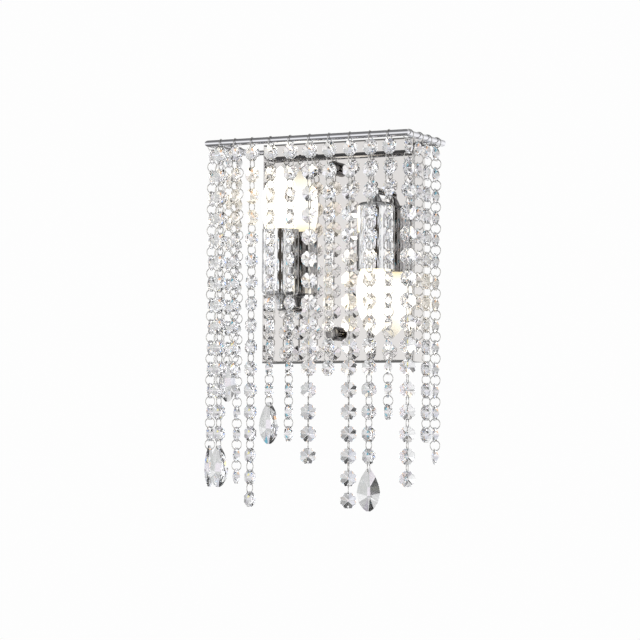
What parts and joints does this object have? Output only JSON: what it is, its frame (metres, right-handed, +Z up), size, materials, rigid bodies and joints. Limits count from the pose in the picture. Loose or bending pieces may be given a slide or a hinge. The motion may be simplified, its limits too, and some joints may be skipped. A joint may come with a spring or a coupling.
{
  "type": "wall sconce",
  "caption": "Wall light with a mirrored tray, candle bulbs in chrome sleeves facing up and down, and strings of crystal beads hanging from a rod bent round the front.",
  "frame": {"origin": "on the wall, at the middle of the back plate", "axes": "+X to the right for someone facing the wall, +Y into the wall, +Z up"},
  "size_m": [0.2121, 0.0979, 0.3428],
  "materials": {
    "mirror_steel": "mirror polished",
    "chrome": "polished chrome",
    "ring_wire": "polished",
    "zinc_steel": "zinc plated",
    "contact_brass": "plain",
    "bulb_cap": "satin",
    "holder_plastic": "matt",
    "terminal_plastic": "matt",
    "bulb_glass": "frosted, lit from inside",
    "crystal": "clear, cut and polished"
  },
  "bodies": {
    "fixture": {"wall_bracket": "zinc_steel", "bracket_studs": "zinc_steel", "back_plate": "mirror_steel", "cap_nuts": "chrome", "frame_front_bar": "chrome", "frame_left_leg": "chrome", "frame_right_leg": "chrome", "frame_rear_rail": "chrome", "rail_screws": "zinc_steel", "lamp_arm_left": "chrome", "lamp_arm_right": "chrome", "arm_nuts": "zinc_steel", "socket_sleeve_left": "chrome", "socket_sleeve_right": "chrome", "sleeve_nipples": "zinc_steel", "lamp_holders": "holder_plastic", "holder_contacts": "contact_brass", "terminal_block": "terminal_plastic", "terminal_screws": "contact_brass", "earth_screw": "contact_brass"},
    "bulb_left": {"bulb_glass_left": "bulb_glass", "bulb_base_left": "bulb_cap"},
    "bulb_right": {"bulb_glass_right": "bulb_glass", "bulb_base_right": "bulb_cap"},
    "front_strand_1": {"front_strand_1_crystals": "crystal", "front_strand_1_rings": "ring_wire"},
    "front_strand_2": {"front_strand_2_crystals": "crystal", "front_strand_2_rings": "ring_wire"},
    "front_strand_3": {"front_strand_3_crystals": "crystal", "front_strand_3_rings": "ring_wire"},
    "front_strand_4": {"front_strand_4_crystals": "crystal", "front_strand_4_rings": "ring_wire"},
    "front_strand_5": {"front_strand_5_crystals": "crystal", "front_strand_5_rings": "ring_wire"},
    "front_strand_6": {"front_strand_6_crystals": "crystal", "front_strand_6_rings": "ring_wire"},
    "front_strand_7": {"front_strand_7_crystals": "crystal", "front_strand_7_rings": "ring_wire"},
    "front_strand_8": {"front_strand_8_crystals": "crystal", "front_strand_8_rings": "ring_wire"},
    "front_strand_9": {"front_strand_9_crystals": "crystal", "front_strand_9_rings": "ring_wire"},
    "front_strand_10": {"front_strand_10_crystals": "crystal", "front_strand_10_rings": "ring_wire"},
    "left_strand_1": {"left_strand_1_crystals": "crystal", "left_strand_1_rings": "ring_wire"},
    "left_strand_2": {"left_strand_2_crystals": "crystal", "left_strand_2_rings": "ring_wire"},
    "left_strand_3": {"left_strand_3_crystals": "crystal", "left_strand_3_rings": "ring_wire"},
    "left_strand_4": {"left_strand_4_crystals": "crystal", "left_strand_4_rings": "ring_wire"},
    "right_strand_1": {"right_strand_1_crystals": "crystal", "right_strand_1_rings": "ring_wire"},
    "right_strand_2": {"right_strand_2_crystals": "crystal", "right_strand_2_rings": "ring_wire"},
    "right_strand_3": {"right_strand_3_crystals": "crystal", "right_strand_3_rings": "ring_wire"},
    "right_strand_4": {"right_strand_4_crystals": "crystal", "right_strand_4_rings": "ring_wire"}
  },
  "joints": [
    {"name": "bulb_left_unscrew", "type": "slide", "parent": "fixture", "child": "bulb_left", "axis": [0, 0, 1], "range_m": [0, 0.02]},
    {"name": "bulb_right_unscrew", "type": "slide", "parent": "fixture", "child": "bulb_right", "axis": [0, 0, -1], "range_m": [0, 0.02]},
    {"name": "front_strand_1_swing", "type": "hinge", "parent": "fixture", "child": "front_strand_1", "pos_m": [-0.0872, -0.092, 0.098], "axis": [-1, 0, 0], "range_deg": [0, 45]},
    {"name": "front_strand_2_swing", "type": "hinge", "parent": "fixture", "child": "front_strand_2", "pos_m": [-0.0723, -0.092, 0.098], "axis": [-1, 0, 0], "range_deg": [-3, 45]},
    {"name": "front_strand_3_swing", "type": "hinge", "parent": "fixture", "child": "front_strand_3", "pos_m": [-0.0545, -0.092, 0.098], "axis": [-1, 0, 0], "range_deg": [-3, 45]},
    {"name": "front_strand_4_swing", "type": "hinge", "parent": "fixture", "child": "front_strand_4", "pos_m": [-0.0354, -0.092, 0.098], "axis": [-1, 0, 0], "range_deg": [-3, 45]},
    {"name": "front_strand_5_swing", "type": "hinge", "parent": "fixture", "child": "front_strand_5", "pos_m": [-0.0154, -0.092, 0.098], "axis": [-1, 0, 0], "range_deg": [-3, 45]},
    {"name": "front_strand_6_swing", "type": "hinge", "parent": "fixture", "child": "front_strand_6", "pos_m": [0.0045, -0.092, 0.098], "axis": [-1, 0, 0], "range_deg": [-3, 45]},
    {"name": "front_strand_7_swing", "type": "hinge", "parent": "fixture", "child": "front_strand_7", "pos_m": [0.0241, -0.092, 0.098], "axis": [-1, 0, 0], "range_deg": [-3, 45]},
    {"name": "front_strand_8_swing", "type": "hinge", "parent": "fixture", "child": "front_strand_8", "pos_m": [0.0449, -0.092, 0.098], "axis": [-1, 0, 0], "range_deg": [-3, 45]},
    {"name": "front_strand_9_swing", "type": "hinge", "parent": "fixture", "child": "front_strand_9", "pos_m": [0.0649, -0.092, 0.098], "axis": [-1, 0, 0], "range_deg": [-3, 45]},
    {"name": "front_strand_10_swing", "type": "hinge", "parent": "fixture", "child": "front_strand_10", "pos_m": [0.0836, -0.092, 0.098], "axis": [-1, 0, 0], "range_deg": [0, 45]},
    {"name": "left_strand_1_swing", "type": "hinge", "parent": "fixture", "child": "left_strand_1", "pos_m": [-0.1, -0.08553, 0.098], "axis": [0, 1, 0], "range_deg": [0, 45]},
    {"name": "left_strand_2_swing", "type": "hinge", "parent": "fixture", "child": "left_strand_2", "pos_m": [-0.1, -0.07, 0.098], "axis": [0, 1, 0], "range_deg": [-3, 45]},
    {"name": "left_strand_3_swing", "type": "hinge", "parent": "fixture", "child": "left_strand_3", "pos_m": [-0.1, -0.05216, 0.098], "axis": [0, 1, 0], "range_deg": [-3, 45]},
    {"name": "left_strand_4_swing", "type": "hinge", "parent": "fixture", "child": "left_strand_4", "pos_m": [-0.1, -0.03299, 0.098], "axis": [0, 1, 0], "range_deg": [-3, 45]},
    {"name": "right_strand_1_swing", "type": "hinge", "parent": "fixture", "child": "right_strand_1", "pos_m": [0.1, -0.08661, 0.098], "axis": [0, -1, 0], "range_deg": [0, 45]},
    {"name": "right_strand_2_swing", "type": "hinge", "parent": "fixture", "child": "right_strand_2", "pos_m": [0.1, -0.06486, 0.098], "axis": [0, -1, 0], "range_deg": [-3, 45]},
    {"name": "right_strand_3_swing", "type": "hinge", "parent": "fixture", "child": "right_strand_3", "pos_m": [0.1, -0.04527, 0.098], "axis": [0, -1, 0], "range_deg": [-3, 45]},
    {"name": "right_strand_4_swing", "type": "hinge", "parent": "fixture", "child": "right_strand_4", "pos_m": [0.1, -0.02469, 0.098], "axis": [0, -1, 0], "range_deg": [-3, 45]}
  ]
}
